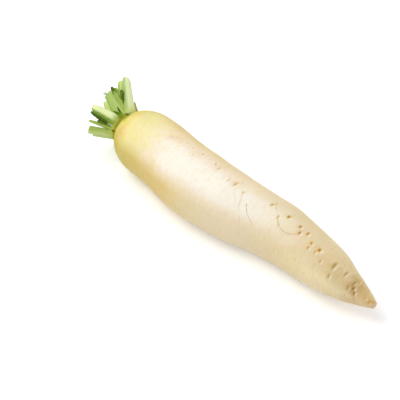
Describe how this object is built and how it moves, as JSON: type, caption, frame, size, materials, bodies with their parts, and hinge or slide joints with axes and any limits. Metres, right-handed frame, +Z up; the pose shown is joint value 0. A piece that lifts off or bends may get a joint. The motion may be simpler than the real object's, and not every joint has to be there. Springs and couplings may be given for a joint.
{
  "type": "daikon radish",
  "caption": "Long white daikon radish lying on its belly, with a yellowish shoulder, a slim tip and a crown of leaf stalks cut short.",
  "frame": {"origin": "the middle of the flattened strip under the belly, on which the root lies, 140 mm of root behind the crown end", "axes": "+X along the root from the crown to the tip, +Z up from the supporting surface, +Y to the left seen from the crown"},
  "size_m": [0.3987, 0.0824, 0.0756],
  "materials": {
    "root_skin": "satin, cream white, yellow-green at the shoulder",
    "crown": "matt, olive green",
    "leaf_stalk": "satin, pale green",
    "leaf_base": "matt, olive brown",
    "leaf_blade": "matt, dark green",
    "rootlet": "matt, tan"
  },
  "bodies": {
    "root": {"root": "root_skin", "crown": "crown", "leaf_stalk_01": "leaf_stalk", "leaf_stalk_02": "leaf_stalk", "leaf_stalk_03": "leaf_stalk", "leaf_stalk_04": "leaf_stalk", "leaf_stalk_05": "leaf_stalk", "leaf_stalk_06": "leaf_stalk", "leaf_stalk_07": "leaf_stalk", "leaf_stalk_08": "leaf_stalk", "leaf_stalk_09": "leaf_stalk", "leaf_stalk_10": "leaf_stalk", "leaf_stalk_11": "leaf_stalk", "leaf_stalk_12": "leaf_stalk", "leaf_stalk_13": "leaf_stalk", "leaf_stalk_14": "leaf_stalk", "leaf_stalk_15": "leaf_stalk", "leaf_stalk_16": "leaf_stalk", "stalk_wing_1": "leaf_stalk", "leaf_base_1": "leaf_base", "leaflet_1": "leaf_blade", "leaflet_2": "leaf_blade", "leaf_scrap_1": "leaf_blade", "leaf_scrap_2": "leaf_blade", "leaf_scrap_3": "leaf_blade", "leaf_scrap_4": "leaf_blade", "leaf_scrap_5": "leaf_blade", "leaf_scrap_6": "leaf_blade", "rootlet_1": "rootlet", "rootlet_2": "rootlet", "rootlet_3": "rootlet", "rootlet_4": "rootlet", "rootlet_5": "rootlet"}
  },
  "joints": []
}
